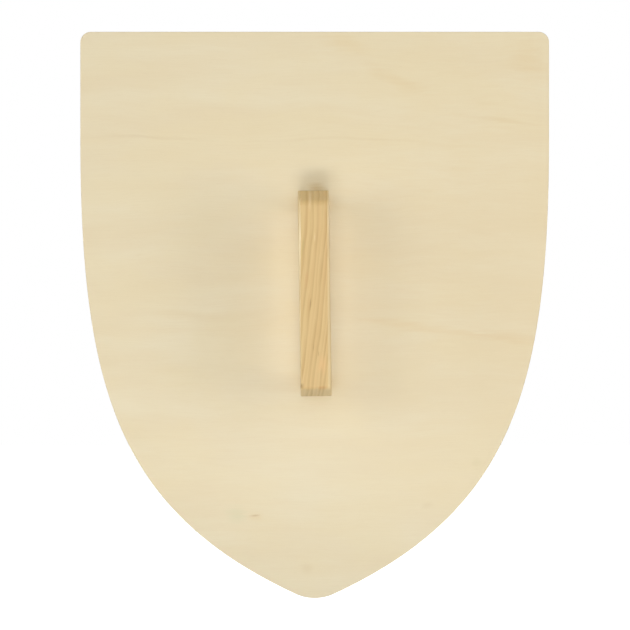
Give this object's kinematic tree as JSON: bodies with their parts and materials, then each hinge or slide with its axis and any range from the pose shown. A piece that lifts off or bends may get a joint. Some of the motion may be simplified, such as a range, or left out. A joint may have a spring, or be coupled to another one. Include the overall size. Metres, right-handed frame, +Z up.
{
  "type": "wooden shield",
  "caption": "Blank heater-shaped plywood shield for play or craft, with a pine bar grip held off its back on two blocks by countersunk screws.",
  "frame": {"origin": "middle of the grip bar, where the hand closes", "axes": "+Z up, from the pointed tip to the straight top edge; +Y forward, out of the front face, away from the hand; +X to the right as the holder sees it"},
  "size_m": [0.3146, 0.058, 0.38],
  "materials": {
    "face_veneer": "sanded, unfinished pale veneer with a faint figure across the shield",
    "cross_veneer": "sawn and sanded veneer edge, slightly darker end grain",
    "pine": "planed, unfinished pine with growth lines along the bar",
    "screw_steel": "bright zinc plate"
  },
  "bodies": {
    "root": {"back_face_ply": "face_veneer", "back_cross_ply": "cross_veneer", "core_ply": "face_veneer", "front_cross_ply": "cross_veneer", "front_face_ply": "face_veneer", "grip_bar": "pine", "upper_grip_post": "pine", "lower_grip_post": "pine", "upper_grip_screw": "screw_steel", "lower_grip_screw": "screw_steel"}
  },
  "joints": []
}
